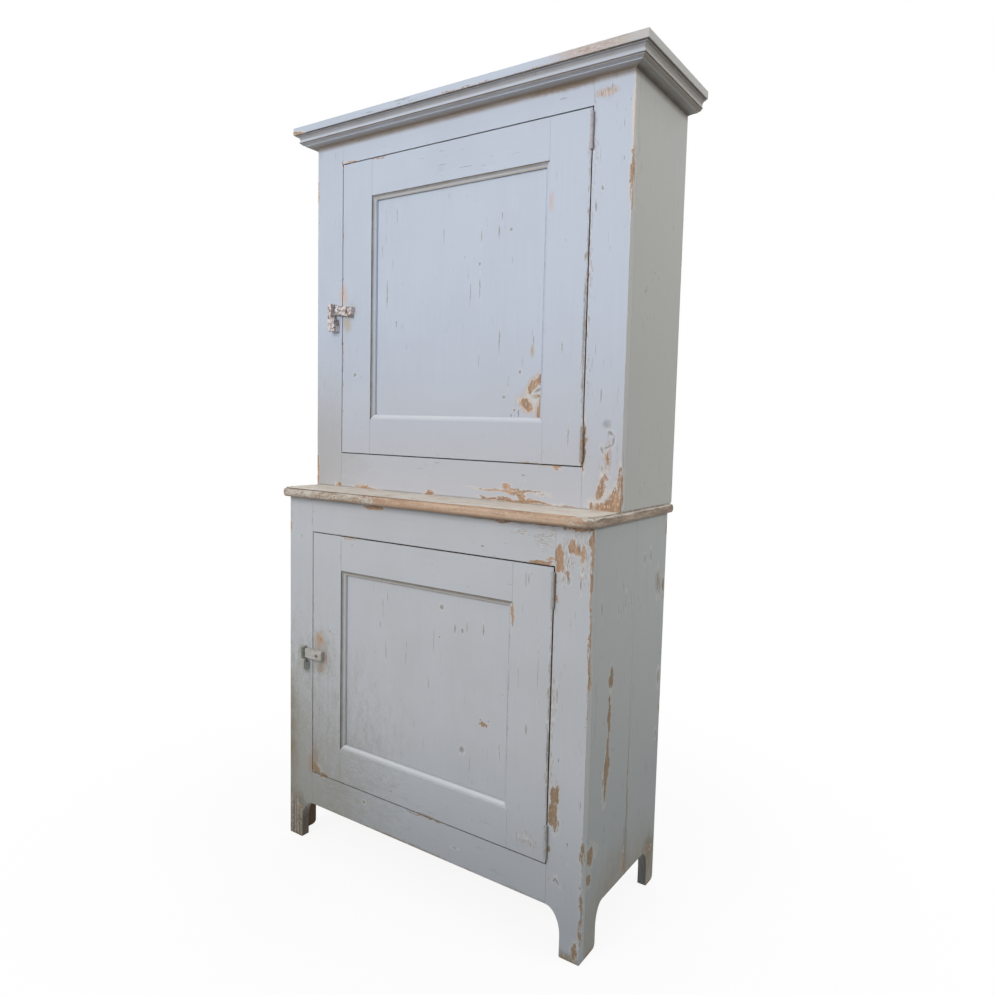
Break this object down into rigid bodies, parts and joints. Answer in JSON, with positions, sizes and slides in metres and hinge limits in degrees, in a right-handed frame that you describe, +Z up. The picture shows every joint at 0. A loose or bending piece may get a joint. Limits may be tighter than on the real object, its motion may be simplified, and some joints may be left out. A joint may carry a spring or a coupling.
{
  "type": "two-part buffet cupboard",
  "caption": "Tall painted pine cupboard in two parts: a base on bracket feet with a worktop, and a shallower upper case with a cornice; each has an inset panel door and a turn-bar latch.",
  "frame": {"origin": "on the floor, under the middle of the whole cupboard", "axes": "+Z up, the doors face -Y, +X to the right as seen from the front"},
  "size_m": [1.036, 0.424, 1.9435],
  "materials": {
    "upper_paint": "worn pale blue-grey paint on pine",
    "base_paint": "worn grey paint on pine",
    "bare_pine": "old unpainted pine",
    "worktop_pine": "pine worktop, mostly worn bare",
    "painted_iron": "iron hinge, painted over and worn",
    "dull_steel": "dull steel screw"
  },
  "bodies": {
    "base": {"base_side_left_front": "base_paint", "base_side_left_rear": "base_paint", "base_side_right_front": "base_paint", "base_side_right_rear": "base_paint", "base_stile_left": "base_paint", "base_stile_right": "base_paint", "base_rail_bottom": "base_paint", "base_rail_top": "base_paint", "base_floor": "bare_pine", "base_back_plank_left": "bare_pine", "base_back_plank_middle": "bare_pine", "base_back_plank_right": "bare_pine", "base_shelf": "bare_pine", "base_shelf_cleat_left": "bare_pine", "base_shelf_cleat_right": "bare_pine", "base_worktop": "worktop_pine", "base_hinge_low_frame_leaf": "painted_iron", "base_hinge_high_frame_leaf": "painted_iron", "base_latch_keeper": "base_paint"},
    "base_door": {"base_door_stile_latch": "base_paint", "base_door_stile_hinge": "base_paint", "base_door_rail_bottom": "base_paint", "base_door_rail_top": "base_paint", "base_door_panel": "base_paint", "base_hinge_low_door_leaf": "painted_iron", "base_hinge_high_door_leaf": "painted_iron", "base_latch_screw": "dull_steel"},
    "base_latch": {"base_latch_bar": "base_paint"},
    "upper_case": {"upper_side_left": "upper_paint", "upper_side_right": "upper_paint", "upper_stile_left": "upper_paint", "upper_stile_right": "upper_paint", "upper_rail_bottom": "upper_paint", "upper_rail_top": "upper_paint", "upper_floor": "bare_pine", "upper_back_plank_left": "bare_pine", "upper_back_plank_middle": "bare_pine", "upper_back_plank_right": "bare_pine", "upper_shelf_low": "bare_pine", "upper_shelf_low_cleat_left": "bare_pine", "upper_shelf_low_cleat_right": "bare_pine", "upper_shelf_high": "bare_pine", "upper_shelf_high_cleat_left": "bare_pine", "upper_shelf_high_cleat_right": "bare_pine", "cornice_cap": "upper_paint", "cornice_front": "upper_paint", "cornice_left": "upper_paint", "cornice_right": "upper_paint", "upper_hinge_low_frame_leaf": "painted_iron", "upper_hinge_high_frame_leaf": "painted_iron", "upper_latch_keeper": "upper_paint"},
    "upper_door": {"upper_door_stile_latch": "upper_paint", "upper_door_stile_hinge": "upper_paint", "upper_door_rail_bottom": "upper_paint", "upper_door_rail_top": "upper_paint", "upper_door_panel": "upper_paint", "upper_hinge_low_door_leaf": "painted_iron", "upper_hinge_high_door_leaf": "painted_iron", "upper_latch_screw": "dull_steel"},
    "upper_latch": {"upper_latch_bar": "upper_paint"}
  },
  "joints": [
    {"name": "base_door_hinge", "type": "hinge", "parent": "base", "child": "base_door", "pos_m": [0.37225, -0.1885, 0.2005], "axis": [0, 0, 1], "range_deg": [0, 170]},
    {"name": "base_latch_turn", "type": "hinge", "parent": "base_door", "child": "base_latch", "pos_m": [-0.345, -0.184, 0.531], "axis": [0, 1, 0], "range_deg": [-15, 90]},
    {"name": "upper_case_lift", "type": "slide", "parent": "base", "child": "upper_case", "axis": [0, 0, 1], "range_m": [0, 0.06]},
    {"name": "upper_door_hinge", "type": "hinge", "parent": "upper_case", "child": "upper_door", "pos_m": [0.37425, -0.085, 1.072], "axis": [0, 0, 1], "range_deg": [0, 170]},
    {"name": "upper_latch_turn", "type": "hinge", "parent": "upper_door", "child": "upper_latch", "pos_m": [-0.347, -0.0805, 1.451], "axis": [0, 1, 0], "range_deg": [-22, 83]}
  ]
}
